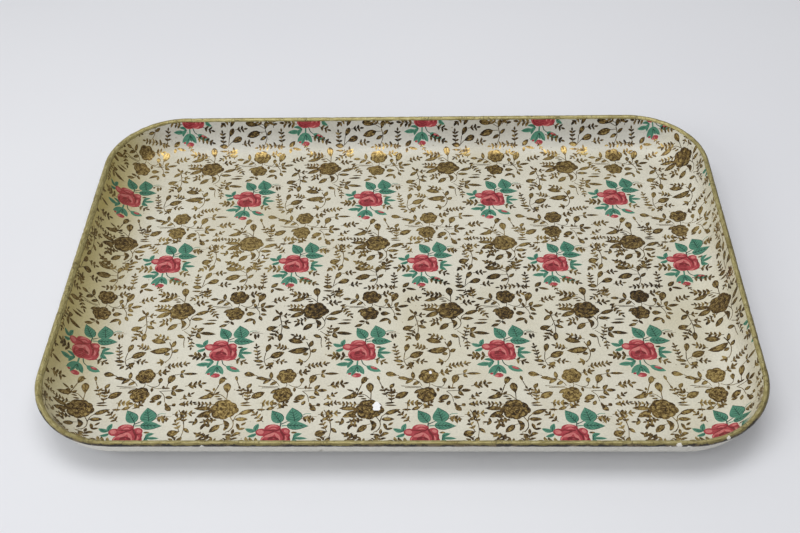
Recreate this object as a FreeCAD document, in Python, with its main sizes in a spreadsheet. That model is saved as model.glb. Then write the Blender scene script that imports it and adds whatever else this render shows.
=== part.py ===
"""Papier-mache serving tray: a moulded shell, a printed paper lining, a gilt rim and plain paper beneath.

The floor is flat. Its edge turns up in a round cove, runs on as a short straight wall and ends in a bead.
Every piece is a layer of that one form: the inner face of the printed lining is the reference, and an offset
is a distance from it, down through the floor or outwards through the wall. Each layer is a floor plate, a
section swept round the floor's outline, or both. Units are millimetres. +Z is up, X runs along the tray's
length, and the origin is under its middle, on the surface that it rests on.
"""

import FreeCAD, Part
import Sketcher
import math
import os

DIMENSIONS = {
    "tray_length": 377.4,  # over the bead, along X
    "tray_width": 265.4,  # over the bead, along Y
    "corner_radius": 46.5,  # of the bead's outer edge, seen from above
    "cove_radius": 18.5,  # of the lining's inner face, from floor to wall
    "wall_slope": 72.0,  # degrees from level, of the straight wall
    "wall_straight": 7.0,  # from the end of the cove to where the bead begins
    "shell_thickness": 1.5,  # of the moulded paper
    "paper_thickness": 0.3,  # of the printed lining and of the plain paper beneath
    "bead_radius": 1.55,  # of the gilt bead along the edge
    "gilding_thickness": 0.3,  # of the gesso and gold on the bead
}


class Size:
    """A number that also keeps the expression that works it out from the sheet."""

    def __init__(self, value, text):
        self.value = value
        self.text = text

    def __add__(self, other):
        return Size(self.value + other.value, f"({self.text} + {other.text})")

    def __sub__(self, other):
        return Size(self.value - other.value, f"({self.text} - {other.text})")

    def __mul__(self, other):
        return Size(self.value * other.value, f"({self.text} * {other.text})")


def number(value):
    return Size(value, str(value))


def sine(angle):
    return Size(math.sin(math.radians(angle.value)), f"sin({angle.text})")


def cosine(angle):
    return Size(math.cos(math.radians(angle.value)), f"cos({angle.text})")


def root(size):
    return Size(math.sqrt(size.value), f"sqrt({size.text})")


# ---- the document and its sheet of driving dimensions ----------------------------------------------------

doc = FreeCAD.newDocument("serving_tray")
sheet = doc.addObject("Spreadsheet::Sheet", "Dimensions")
for row, (alias, value) in enumerate(DIMENSIONS.items(), start=1):
    sheet.set(f"A{row}", alias)
    sheet.set(f"B{row}", str(value))
    sheet.setAlias(f"B{row}", alias)
doc.recompute()

cell = {alias: Size(value, f"Dimensions.{alias}") for alias, value in DIMENSIONS.items()}

# ---- the form that all the layers share ------------------------------------------------------------------

cove = cell["cove_radius"]
slope = cell["wall_slope"]
straight = cell["wall_straight"]
bead = cell["bead_radius"]
bead_core = bead - cell["gilding_thickness"]

shell_inside = cell["paper_thickness"]  # offsets of the layers' faces from the lining's inner face
shell_outside = shell_inside + cell["shell_thickness"]
paper_outside = shell_outside + cell["paper_thickness"]
floor_level = paper_outside  # height of the lining's inner face above the surface that the tray rests on

# The straight wall touches the bead's side, so the bead's centre lies one bead radius outside the wall's top.
wall_run = cove * sine(slope) + straight * cosine(slope)
overall_run = wall_run + bead * sine(slope) + bead
floor_length = cell["tray_length"] * number(0.5) - overall_run  # half the flat floor's length, and so on
floor_width = cell["tray_width"] * number(0.5) - overall_run
floor_corner = cell["corner_radius"] - overall_run
cove_centre_height = floor_level + cove


def on_floor_edge(offset):
    """Where a layer's face leaves the flat floor, in the section at the middle of the tray's right end."""
    return (floor_length, floor_level - offset)


def on_cove_end(offset):
    """The point where a layer's face passes from the cove to the straight wall."""
    radius = cove + offset
    return (floor_length + radius * sine(slope), cove_centre_height - radius * cosine(slope))


def beside_bead(offset, below):
    """A point at an offset from the wall's inner face, some way down it from level with the bead's centre."""
    along = straight - below
    x, z = on_cove_end(offset)
    return (x + along * cosine(slope), z + along * sine(slope))


def drop_to_bead(offset, radius):
    """How far below the bead's centre a face at this offset meets a circle round that centre."""
    aside = offset - bead
    return root(radius * radius - aside * aside)


LEVEL_WITH_BEAD = number(0.0)
shell_meets_bead = beside_bead(shell_outside, drop_to_bead(shell_outside, bead_core))
paper_meets_bead = beside_bead(paper_outside, drop_to_bead(paper_outside, bead))

# ---- helpers for sketches and layers ---------------------------------------------------------------------

ORIGIN_POINT = (-1, 1)
X_AXIS = -1
START, END = 1, 2


def origin_plane(body, role):
    """The body's own origin plane with this role."""
    return next(feature for feature in body.Origin.OriginFeatures if feature.Role == role)


def new_sketch(body, name, role):
    """A sketch on one of the body's origin planes."""
    sketch = body.newObject("Sketcher::SketchObject", f"{body.Name}_{name}")
    sketch.AttachmentSupport = [(origin_plane(body, role), "")]
    sketch.MapMode = "FlatFace"
    return sketch


def bind(sketch, constraint, size):
    """Add a constraint whose value follows the sheet."""
    index = sketch.addConstraint(constraint)
    sketch.setExpression(f"Constraints[{index}]", size.text)


def floor_outline(body, name, height):
    """A sketch of the flat floor's outline, a rounded rectangle that begins halfway up its right side."""
    sketch = new_sketch(body, name, "XY_Plane")
    sketch.setExpression(".AttachmentOffset.Base.z", height.text)
    x, y, r = floor_length.value, floor_width.value, floor_corner.value
    quarter = math.pi / 2
    corners = [(x - r, y - r), (r - x, y - r), (r - x, r - y), (x - r, r - y)]
    stops = [
        (x, 0),
        (x, y - r),
        (x - r, y),
        (r - x, y),
        (-x, y - r),
        (-x, r - y),
        (r - x, -y),
        (x - r, -y),
        (x, r - y),
    ]
    for turn, (corner_x, corner_y) in enumerate(corners):
        begin, end = stops[2 * turn], stops[2 * turn + 1]
        sketch.addGeometry(Part.LineSegment(FreeCAD.Vector(*begin, 0), FreeCAD.Vector(*end, 0)))
        circle = Part.Circle(FreeCAD.Vector(corner_x, corner_y, 0), FreeCAD.Vector(0, 0, 1), r)
        sketch.addGeometry(Part.ArcOfCircle(circle, turn * quarter, (turn + 1) * quarter))
    sketch.addGeometry(Part.LineSegment(FreeCAD.Vector(*stops[8], 0), FreeCAD.Vector(x, 0, 0)))

    right, back, left, front, last = 0, 2, 4, 6, 8
    for index in range(last):
        sketch.addConstraint(Sketcher.Constraint("Tangent", index, END, index + 1, START))
    sketch.addConstraint(Sketcher.Constraint("Coincident", last, END, right, START))
    sketch.addConstraint(Sketcher.Constraint("PointOnObject", right, START, X_AXIS))
    for index in (right, left, last):
        sketch.addConstraint(Sketcher.Constraint("Vertical", index))
    for index in (back, front):
        sketch.addConstraint(Sketcher.Constraint("Horizontal", index))
    for index in (3, 5, 7):
        sketch.addConstraint(Sketcher.Constraint("Equal", 1, index))
    bind(sketch, Sketcher.Constraint("Radius", 1, r), floor_corner)
    bind(sketch, Sketcher.Constraint("DistanceX", *ORIGIN_POINT, right, START, x), floor_length)
    bind(sketch, Sketcher.Constraint("DistanceX", left, START, *ORIGIN_POINT, x), floor_length)
    bind(sketch, Sketcher.Constraint("DistanceY", *ORIGIN_POINT, back, START, y), floor_width)
    bind(sketch, Sketcher.Constraint("DistanceY", front, START, *ORIGIN_POINT, y), floor_width)
    return sketch


def arc_between(begin, end, radius, centre):
    """The arc from one point to the other that goes round the centre anticlockwise."""
    first = math.atan2(begin[1] - centre[1], begin[0] - centre[0])
    last = math.atan2(end[1] - centre[1], end[0] - centre[0])
    circle = Part.Circle(FreeCAD.Vector(*centre, 0), FreeCAD.Vector(0, 0, 1), radius)
    return Part.ArcOfCircle(circle, first, last if last > first else last + 2 * math.pi)


def section(body, outline):
    """A sketch of a layer's section at the tray's right end.

    The outline is a list of corners, anticlockwise. Each is a point and what leads on from it to the next:
    None for a straight edge, or an arc's radius, its centre and whether it goes round that anticlockwise.
    """
    sketch = new_sketch(body, "section", "XZ_Plane")
    ends = []
    for index, (point, arc) in enumerate(outline):
        begin = tuple(size.value for size in point)
        end = tuple(size.value for size in outline[(index + 1) % len(outline)][0])
        if arc is None:
            sketch.addGeometry(Part.LineSegment(FreeCAD.Vector(*begin, 0), FreeCAD.Vector(*end, 0)))
            ends.append((START, END))
            continue
        radius, centre, anticlockwise = arc
        centre = tuple(size.value for size in centre)
        if anticlockwise:
            sketch.addGeometry(arc_between(begin, end, radius.value, centre))
        else:
            sketch.addGeometry(arc_between(end, begin, radius.value, centre))
        ends.append((START, END) if anticlockwise else (END, START))
    for index, ((x, z), arc) in enumerate(outline):
        before = index - 1 if index else len(outline) - 1
        joined = (before, ends[before][1], index, ends[index][0])
        sketch.addConstraint(Sketcher.Constraint("Coincident", *joined))
        bind(sketch, Sketcher.Constraint("DistanceX", *ORIGIN_POINT, index, ends[index][0], x.value), x)
        bind(sketch, Sketcher.Constraint("DistanceY", *ORIGIN_POINT, index, ends[index][0], z.value), z)
        if arc is not None:
            bind(sketch, Sketcher.Constraint("Radius", index, arc[0].value), arc[0])
    return sketch


def floor_plate(body, bottom, thickness):
    """The flat part of a layer."""
    pad = body.newObject("PartDesign::Pad", f"{body.Name}_floor")
    pad.Profile = floor_outline(body, "floor_outline", bottom)
    pad.setExpression("Length", thickness.text)
    return pad


def swept_wall(body, outline):
    """The rest of a layer: its section swept once round the floor's outline."""
    path = floor_outline(body, "path", floor_level)
    pipe = body.newObject("PartDesign::AdditivePipe", f"{body.Name}_wall")
    pipe.Profile = section(body, outline)
    pipe.Spine = (path, [f"Edge{index + 1}" for index in range(path.GeometryCount)])
    return pipe


def cove_arc(offset, anticlockwise):
    return (cove + offset, (floor_length, cove_centre_height), anticlockwise)


def bead_arc(radius, anticlockwise):
    return (radius, beside_bead(bead, LEVEL_WITH_BEAD), anticlockwise)


# ---- the pieces ------------------------------------------------------------------------------------------


def build_moulded_body(body):
    """The moulded paper shell, which carries every other layer. Its wall ends in a round bead."""
    floor_plate(body, floor_level - shell_outside, cell["shell_thickness"])
    swept_wall(
        body,
        [
            (on_floor_edge(shell_outside), cove_arc(shell_outside, True)),
            (on_cove_end(shell_outside), None),
            (shell_meets_bead, bead_arc(bead_core, True)),
            (beside_bead(shell_inside, LEVEL_WITH_BEAD), None),
            (on_cove_end(shell_inside), cove_arc(shell_inside, False)),
            (on_floor_edge(shell_inside), None),
        ],
    )


def build_printed_liner(body):
    """The printed paper that lines the floor and the inside of the wall, up to the gilding."""
    inner_face = number(0.0)
    floor_plate(body, floor_level - shell_inside, cell["paper_thickness"])
    swept_wall(
        body,
        [
            (on_floor_edge(shell_inside), cove_arc(shell_inside, True)),
            (on_cove_end(shell_inside), None),
            (beside_bead(shell_inside, LEVEL_WITH_BEAD), None),
            (beside_bead(inner_face, LEVEL_WITH_BEAD), None),
            (on_cove_end(inner_face), cove_arc(inner_face, False)),
            (on_floor_edge(inner_face), None),
        ],
    )


def build_rim_gilding(body):
    """The gold on its gesso ground, over the bead from the lining's edge to the plain paper's edge."""
    swept_wall(
        body,
        [
            (paper_meets_bead, bead_arc(bead, True)),
            (beside_bead(number(0.0), LEVEL_WITH_BEAD), None),
            (beside_bead(shell_inside, LEVEL_WITH_BEAD), bead_arc(bead_core, False)),
            (shell_meets_bead, None),
        ],
    )


def build_outer_wall_paper(body):
    """The plain paper round the outside of the wall, from the base sheet to the gilding."""
    swept_wall(
        body,
        [
            (on_floor_edge(paper_outside), cove_arc(paper_outside, True)),
            (on_cove_end(paper_outside), None),
            (paper_meets_bead, None),
            (shell_meets_bead, None),
            (on_cove_end(shell_outside), cove_arc(shell_outside, False)),
            (on_floor_edge(shell_outside), None),
        ],
    )


def build_base_paper(body):
    """The plain paper sheet under the flat floor, which the tray rests on."""
    floor_plate(body, floor_level - paper_outside, cell["paper_thickness"])


PIECES = {
    "moulded_body": build_moulded_body,
    "printed_liner": build_printed_liner,
    "rim_gilding": build_rim_gilding,
    "outer_wall_paper": build_outer_wall_paper,
    "base_paper": build_base_paper,
}

bodies = []
for label, build in PIECES.items():
    piece = doc.addObject("PartDesign::Body", label)
    piece.Label = label
    build(piece)
    bodies.append(piece)
doc.recompute()

# ---- checks and files ------------------------------------------------------------------------------------

for item in doc.Objects:
    if "Invalid" in item.State or "Error" in item.State:
        raise RuntimeError(f"{item.Name} did not recompute: {item.getStatusString()}")

os.makedirs("parts", exist_ok=True)
for piece in bodies:
    shape = piece.Shape
    if shape.isNull() or not shape.isValid() or len(shape.Solids) != 1:
        raise RuntimeError(f"{piece.Label} is not one valid solid")
    box = shape.BoundBox
    print(f"{piece.Label}: {shape.Volume / 1000:.2f} cm3, {box.XLength:.2f} x {box.YLength:.2f} mm, "
          f"z {box.ZMin:.2f} to {box.ZMax:.2f}")
    shape.exportStep(f"parts/{piece.Label}.step")
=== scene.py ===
"""Papier-mache serving tray: the printed lining, the gilt rim and the plain paper, round the CAD frame.

The print is a repeating block of roses and leaves. Each motif is an outline, drawn once on the flat block.
The block is cut into ink and bare paper, repeated over the flat sheet, trimmed and then laid into the tray:
flat on the floor, round the cove and up the wall. Lengths are in millimetres until a mesh is made. X runs
along the tray's length, Y to its back, and Z up.
"""

import math
import random

import bpy
import numpy as np
from mathutils import Matrix, Vector, geometry, noise


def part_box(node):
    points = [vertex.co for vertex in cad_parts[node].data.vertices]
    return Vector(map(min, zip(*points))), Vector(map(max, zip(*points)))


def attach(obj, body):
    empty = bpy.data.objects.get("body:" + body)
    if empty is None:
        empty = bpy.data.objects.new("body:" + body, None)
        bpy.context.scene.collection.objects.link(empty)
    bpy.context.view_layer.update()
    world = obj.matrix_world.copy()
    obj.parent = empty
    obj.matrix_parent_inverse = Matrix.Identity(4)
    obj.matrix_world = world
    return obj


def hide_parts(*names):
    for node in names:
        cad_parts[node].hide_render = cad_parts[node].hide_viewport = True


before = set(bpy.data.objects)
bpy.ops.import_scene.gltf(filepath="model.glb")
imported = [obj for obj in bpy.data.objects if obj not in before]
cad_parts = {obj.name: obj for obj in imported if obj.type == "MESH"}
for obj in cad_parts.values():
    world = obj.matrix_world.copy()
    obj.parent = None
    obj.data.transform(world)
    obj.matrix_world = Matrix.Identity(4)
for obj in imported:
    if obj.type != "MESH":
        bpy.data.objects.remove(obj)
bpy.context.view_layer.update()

MM = 0.001
random.seed(7)

# ---- the tray's form, as the CAD has it ----

COVE_RADIUS = 18.5  # of the lining's face, between floor and wall
WALL_SLOPE = math.radians(72)
WALL_STRAIGHT = 7.0  # from the end of the cove to where the bead begins
CORNER_RADIUS = 46.5  # of the bead's outer edge, seen from above
BEAD_RADIUS = 1.55
GILDING = 0.3  # thickness of the gesso and gold
PAPER = 0.3  # thickness of each sheet of paper
SHELL = 1.5  # thickness of the moulded paper

base_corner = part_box("base_paper")[1]
lining_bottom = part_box("printed_liner")[0][2]
FLAT_X = base_corner[0] / MM  # half the flat floor's length
FLAT_Y = base_corner[1] / MM  # half its width
FLOOR = lining_bottom / MM + PAPER  # height of the printed face above the table
COVE_ARC = COVE_RADIUS * WALL_SLOPE
PAPER_EDGE = COVE_ARC + WALL_STRAIGHT  # how far the lining goes up from the floor's edge, along its face
WALL_TOP_OUT = COVE_RADIUS * math.sin(WALL_SLOPE) + WALL_STRAIGHT * math.cos(WALL_SLOPE)
WALL_TOP_UP = FLOOR + COVE_RADIUS * (1 - math.cos(WALL_SLOPE)) + WALL_STRAIGHT * math.sin(WALL_SLOPE)
BEAD_OUT = WALL_TOP_OUT + BEAD_RADIUS * math.sin(WALL_SLOPE)  # the bead's centre, out from the floor's edge
BEAD_UP = WALL_TOP_UP - BEAD_RADIUS * math.cos(WALL_SLOPE)
FLAT_CORNER = CORNER_RADIUS - BEAD_OUT - BEAD_RADIUS


def beyond_floor(u, v):
    """How far flat-sheet points lie outside the flat floor, and the way out there. Negative inside."""
    across = np.abs(u) - (FLAT_X - FLAT_CORNER)
    along = np.abs(v) - (FLAT_Y - FLAT_CORNER)
    in_corner = (across > 0) & (along > 0)
    reach = np.hypot(across, along)
    safe = np.where(reach > 0, reach, 1.0)
    beyond = np.where(in_corner, reach, np.maximum(across, along)) - FLAT_CORNER
    way_x = np.where(in_corner, across / safe, across > along) * np.sign(u)
    way_y = np.where(in_corner, along / safe, across <= along) * np.sign(v)
    return beyond, way_x, way_y


def lay_in_tray(u, v):
    """Where flat-sheet points come to lie in the tray, and the face's normal there."""
    beyond, way_x, way_y = beyond_floor(u, v)
    rise = np.maximum(beyond, 0.0)
    angle = np.minimum(rise / COVE_RADIUS, WALL_SLOPE)
    straight = np.maximum(rise - COVE_ARC, 0.0)
    out = COVE_RADIUS * np.sin(angle) + straight * math.cos(WALL_SLOPE)
    up = COVE_RADIUS * (1 - np.cos(angle)) + straight * math.sin(WALL_SLOPE)
    points = np.stack([u + way_x * (out - rise), v + way_y * (out - rise), FLOOR + up], axis=1)
    normals = np.stack([-way_x * np.sin(angle), -way_y * np.sin(angle), np.cos(angle)], axis=1)
    return points, normals


# ---- drawing the print's block ----

BLOCK_LENGTH = 76.4  # the print repeats by this along X, 3 inches
BLOCK_WIDTH = 127.25  # and by this along Y, 5 inches

BARE, UMBER, GOLD, GREEN, VEIN, RED, PINK, DEEP, CHALK = range(9)
TONE = {BARE: 0.0, UMBER: 0.0, GOLD: 1.0, GREEN: 1.0, VEIN: 0.0, RED: 0.5, PINK: 1.0, DEEP: 0.0, CHALK: 0.0}
LEAF_FULLNESS = 1.2  # how much wider a leaf is cut than its given width, as its ends taper
GOLD_LEAFLETS = 0.3  # the share of a sprig's leaflets that are gold
LEAFLET_GAP = 2.45  # between pairs of leaflets along a sprig
LEAFLET_LENGTH = 1.12  # how much longer leaflets are cut than their given length
shapes = []  # the block's outlines, each with its ink; a later one covers an earlier one


def draw(ink, outline):
    shapes.append((ink, outline))


def axes(base, tip):
    """The two ends as vectors, the way from one to the other, and a unit vector to its left."""
    base, tip = Vector(base), Vector(tip)
    along = tip - base
    return base, tip, along, Vector((-along.y, along.x)).normalized()


def leaf(ink, base, tip, width, bend=0.0):
    """A plump, pointed leaf, fullest a little nearer its base, bent sideways by a share of its length."""
    base, tip, along, side = axes(base, tip)
    width = LEAF_FULLNESS * width
    steps = 5 if along.length > 3.5 else 4
    left, right = [], []
    for step in range(1, steps):
        share = step / steps
        middle = base + along * share + side * (bend * along.length * math.sin(math.pi * share))
        half = 0.5 * width * math.sin(math.pi * share**0.88) ** 0.7
        left.append(middle + side * half)
        right.append(middle - side * half)
    draw(ink, [base, *right, tip, *reversed(left)])


def ellipse(ink, centre, length, width, turn=0.0, points=14):
    """An ellipse whose length lies at an angle, in degrees from +X."""
    turn = math.radians(turn)
    outline = []
    for step in range(points):
        angle = 2 * math.pi * step / points
        x, y = 0.5 * length * math.cos(angle), 0.5 * width * math.sin(angle)
        outline.append(Vector((centre[0] + x * math.cos(turn) - y * math.sin(turn),
                               centre[1] + x * math.sin(turn) + y * math.cos(turn))))
    draw(ink, outline)


def smooth_path(points, steps=4):
    """A smooth line through the points."""
    points = [Vector(point) for point in points]
    if len(points) == 2:
        return points
    padded = [2 * points[0] - points[1], *points, 2 * points[-1] - points[-2]]
    line = []
    for a, b, c, d in zip(padded, padded[1:], padded[2:], padded[3:]):
        for step in range(steps):
            t = step / steps
            line.append(0.5 * (2 * b + (c - a) * t + (2 * a - 5 * b + 4 * c - d) * t**2
                               + (3 * b - a - 3 * c + d) * t**3))
    line.append(points[-1])
    return line


def stroke(ink, points, width, end_width=None):
    """A stem or a fold: a line through the points, with a width at its start and at its end."""
    line = smooth_path(points)
    end_width = width if end_width is None else end_width
    left, right = [], []
    for index, point in enumerate(line):
        ahead = line[min(index + 1, len(line) - 1)] - line[max(index - 1, 0)]
        side = Vector((-ahead.y, ahead.x)).normalized()
        half = 0.5 * (width + (end_width - width) * index / (len(line) - 1))
        left.append(point + side * half)
        right.append(point - side * half)
    draw(ink, right + left[::-1])


def crescent(ink, points, width):
    """A stroke that swells in its middle and comes to a point at both ends."""
    line = smooth_path(points)
    left, right = [], []
    for index in range(1, len(line) - 1):
        ahead = line[index + 1] - line[index - 1]
        side = Vector((-ahead.y, ahead.x)).normalized()
        half = 0.5 * width * math.sin(math.pi * index / (len(line) - 1)) ** 0.7
        left.append(line[index] + side * half)
        right.append(line[index] - side * half)
    draw(ink, [line[0], *right, line[-1], *reversed(left)])


# The gold on each side of a lit leaf, in shares of its size: how far it starts from the leaf's base and ends
# from its tip, how far it lies to the left at either end, and its width.
LIT_SIDES = [(0.14, 0.2, 0.2, 0.14, 0.32), (0.22, 0.3, -0.2, -0.12, 0.24)]


def lit_leaf(base, tip, width, bend=0.0):
    """A large umber leaf with gold on both sides of its midrib."""
    leaf(UMBER, base, tip, width, bend)
    base, tip, along, side = axes(base, tip)
    for near, far, near_side, far_side, size in LIT_SIDES:
        start = base + along * near + side * near_side * width
        leaf(GOLD, start, tip - along * far + side * far_side * width, size * width, bend)


# A share of the length, and the share of the width that the shape has there.
BUD_PROFILE = [(0.12, 0.16), (0.32, 0.62), (0.55, 0.96), (0.76, 0.94), (0.93, 0.5)]
HEART_PROFILE = [
    (0.0, 0.34), (0.1, 0.74), (0.26, 0.99), (0.42, 1.0), (0.58, 0.84), (0.74, 0.56), (0.88, 0.26),
]


def flanks(base, along, side, width, profile):
    """The right and left sides of a shape with a profile, from its base to its tip."""
    right = [base + along * t - side * (0.5 * width * w) for t, w in profile]
    left = [base + along * t + side * (0.5 * width * w) for t, w in profile]
    return right, left


def bud(base, tip, width):
    """A closed bud: a teardrop with its point at the stem, and gold on its side."""
    base, tip, along, side = axes(base, tip)
    right, left = flanks(base, along, side, width, BUD_PROFILE)
    draw(UMBER, [base, *right, tip, *reversed(left)])
    for shift, size in ((0.22, 0.3), (-0.16, 0.24)):
        beside = side * shift * width
        leaf(GOLD, base + along * 0.3 + beside, tip - along * 0.13 + beside, size * width)


def sprig(base, tip, length):
    """A straight stem with pairs of bent leaflets all along it and one more at its tip. Some are gold."""
    base, tip = Vector(base), Vector(tip)
    ahead = (tip - base).normalized()
    side = Vector((-ahead.y, ahead.x))
    length = LEAFLET_LENGTH * length
    end = tip - ahead * length
    stroke(UMBER, [base, end + ahead * 0.3], 0.46, 0.32)
    leaf(UMBER, end, tip, 0.4 * length)
    pairs = max(1, round((end - base).length / LEAFLET_GAP))
    gap = (end - base).length / (pairs + 0.3)
    for pair in range(pairs):
        for hand in (1, -1):
            root = base + ahead * (gap * (pair + 0.7 + random.uniform(-0.12, 0.12)))
            lean = random.uniform(0.45, 0.9)
            size = length * random.uniform(0.85, 1.12)
            leaflet_tip = root + (side * hand + ahead * lean).normalized() * size
            ink = GOLD if random.random() < GOLD_LEAFLETS else UMBER
            width = random.uniform(0.36, 0.45) * length
            leaf(ink, root - ahead * 0.1, leaflet_tip, width, bend=-0.12 * hand)


def trefoil(base, middle, tip, length):
    """A thin stem that ends in three leaves."""
    middle, tip = Vector(middle), Vector(tip)
    ahead = (tip - middle).normalized()
    side = Vector((-ahead.y, ahead.x))
    stroke(UMBER, [base, middle + ahead * 1.5], 0.45, 0.35)
    leaf(UMBER, middle + ahead * 1.2, tip, 0.42 * length)
    for hand in (1, -1):
        way = (ahead * 0.72 + side * hand).normalized()
        lit_leaf(middle, middle + way * length, 0.44 * length, bend=0.1 * hand)


def green_leaf(base, tip, width, bend=0.0):
    """A narrow green leaf with a dark midrib."""
    leaf(GREEN, base, tip, width, bend)
    base, tip = Vector(base), Vector(tip)
    side = Vector((base.y - tip.y, tip.x - base.x))
    stroke(VEIN, [base, base.lerp(tip, 0.45) + side * bend, base.lerp(tip, 0.85)], 0.42, 0.2)


def heart_leaf(base, tip, width):
    """A broad green leaf with a midrib and side veins."""
    base, tip, along, side = axes(base, tip)
    right, left = flanks(base, along, side, width, HEART_PROFILE)
    draw(GREEN, [base - along * 0.03, *right, tip, *reversed(left)])
    stroke(VEIN, [base, base + along * 0.88], 0.56, 0.24)
    for share in (0.12, 0.28, 0.44, 0.6):
        for hand in (1, -1):
            root = base + along * share
            reach = along * 0.15 + side * (hand * 0.36 * width * (1.12 - share))
            stroke(VEIN, [root, root + reach], 0.36, 0.2)
    outline = right + [tip]
    for first, second in zip(outline, outline[1:]):
        stroke(VEIN, [first, second], 0.34)


def moved(group, place, *sizes):
    """Draw a group with its own centre at a place on the block."""
    first = len(shapes)
    group(*sizes)
    shift = Vector(place)
    for index in range(first, len(shapes)):
        ink, outline = shapes[index]
        shapes[index] = (ink, [Vector(point) + shift for point in outline])


def red_rose():
    """The red rose, its green leaves, two buds and the sprigs beside it. Its centre is the bloom's."""
    stroke(VEIN, [(2.7, 7.4), (2.9, 11.4)], 0.8, 0.5)
    stroke(VEIN, [(3.1, 9.6), (4.6, 10.4), (6.8, 11.6)], 0.7, 0.4)
    stroke(GREEN, [(3.4, 8.4), (6.8, 8.7)], 0.7, 0.5)
    heart_leaf((2.7, 10.8), (-2.6, 18.5), 6.4)
    heart_leaf((10.2, 11.0), (7.8, 20.4), 8.6)
    heart_leaf((6.4, 8.9), (17.3, 8.4), 5.3)
    stroke(GREEN, [(13.8, 15.4), (15.4, 16.4), (18.2, 16.4)], 0.5, 0.3)
    for base, tip, width in (
        ((-9.9, 4.6), (-8.7, 10.0), 2.3), ((-9.6, 4.9), (-15.4, 6.7), 2.2), ((-8.9, 3.4), (-13.8, 1.3), 1.9),
    ):
        green_leaf(base, tip, width, bend=0.08)
    stroke(GREEN, [(-9.8, 3.9), (-8.2, 4.2)], 0.7)
    for tip, width, bend in (((14.4, 3.5), 2.1, 0.18), ((17.4, 0.0), 1.8, 0.0), ((13.8, -4.0), 2.2, -0.16)):
        green_leaf((9.9, 0.2), tip, width, bend)
    green_leaf((-3.3, -6.3), (-8.9, -5.0), 1.7, bend=-0.12)
    green_leaf((-5.0, -7.9), (-12.9, -8.6), 2.5)
    green_leaf((-3.4, -6.2), (-6.3, -11.1), 2.1, bend=-0.14)
    stroke(GREEN, [(-5.8, -7.9), (-3.2, -6.6)], 0.4)

    stroke(GREEN, [(-1.0, -4.8), (-1.2, -9.4)], 0.9, 1.0)
    ellipse(RED, (-1.2, -16.1), 5.2, 3.2)
    ellipse(PINK, (-2.3, -16.6), 2.3, 1.4, 20)
    ellipse(RED, (-4.9, -15.0), 2.0, 1.5)
    for tip, width in (((-6.8, -15.0), 2.7), ((2.9, -15.4), 2.8), ((-4.0, -16.7), 2.2), ((-0.3, -14.2), 2.8)):
        leaf(GREEN, (-1.2, -8.6), tip, width)
    stroke(VEIN, [(-1.3, -10.2), (-3.6, -15.6)], 0.4, 0.25)
    stroke(VEIN, [(-1.0, -10.2), (1.7, -14.4)], 0.4, 0.2)
    stroke(VEIN, [(-1.0, -10.0), (-0.6, -13.8)], 0.6, 0.3)
    stroke(VEIN, [(1.0, -5.0), (2.0, -7.9), (4.2, -9.8)], 0.6, 0.5)
    leaf(GREEN, (3.6, -9.4), (12.0, -13.4), 3.1, bend=-0.03)
    leaf(RED, (5.9, -10.0), (10.3, -11.9), 1.4)
    leaf(PINK, (6.4, -9.9), (9.0, -10.8), 0.6)

    for centre, length, width, turn in (
        ((-6.6, 4.2), 6.2, 5.0, -10), ((-1.1, 6.8), 8.6, 5.4, 0), ((5.0, 4.4), 6.4, 5.4, 20),
        ((5.4, -0.8), 6.6, 9.2, 20), ((-1.4, -1.0), 10.4, 9.4, 0), ((1.6, 2.2), 11.0, 8.0, 0),
        ((3.6, -3.6), 6.4, 4.0, -10), ((-3.9, 4.7), 5.2, 4.8, 0), ((6.3, 2.0), 4.4, 4.6, 0),
    ):
        ellipse(RED, centre, length, width, turn, points=18)
    ellipse(PINK, (-7.2, 4.5), 3.6, 2.6, -10)
    crescent(PINK, [(-3.9, 7.2), (-1.2, 8.7), (1.7, 8.0)], 1.3)
    crescent(PINK, [(-2.4, 6.2), (-0.6, 6.9), (1.2, 6.3)], 0.7)
    ellipse(PINK, (6.1, 5.1), 2.6, 2.0, -30)
    crescent(PINK, [(-4.9, 1.2), (-1.8, 2.4), (0.4, 4.0)], 2.3)
    crescent(PINK, [(0.2, 4.2), (2.2, 1.4), (3.6, -2.4)], 1.8)
    crescent(PINK, [(-6.0, -1.6), (-5.7, 0.2), (-4.4, 1.5)], 0.8)
    crescent(PINK, [(1.2, -5.2), (3.8, -4.9), (5.8, -3.4)], 0.9)
    crescent(PINK, [(5.6, 2.2), (6.5, 0.0), (6.1, -2.2)], 0.9)
    crescent(DEEP, [(-6.2, 5.4), (-3.4, 5.7), (-0.4, 5.2), (1.6, 5.6), (3.4, 7.4)], 0.9)
    crescent(DEEP, [(-4.9, 2.6), (-2.0, 3.8), (0.4, 5.2)], 0.7)
    crescent(DEEP, [(2.0, 7.8), (3.6, 4.6), (5.2, 1.6), (5.0, -2.6)], 1.3)
    crescent(DEEP, [(7.6, 3.0), (8.0, 0.2), (7.3, -2.8)], 0.8)
    crescent(DEEP, [(3.4, 4.8), (5.4, 3.0), (7.8, 3.2)], 0.6)
    leaf(DEEP, (-3.0, -0.9), (0.2, 1.2), 1.9)
    leaf(DEEP, (3.2, -1.4), (0.0, 1.1), 1.3)
    for drop, reach in ((-1.3, 3.0), (-2.5, 3.5), (-3.7, 3.1), (-4.7, 2.2)):
        crescent(DEEP, [(-0.8 - reach, drop - 0.3), (-0.8, drop + 0.5), (-0.8 + reach, drop - 0.4)], 0.62)
    crescent(DEEP, [(-4.8, -0.4), (-4.9, -2.6), (-2.8, -4.9)], 0.8)

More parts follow.
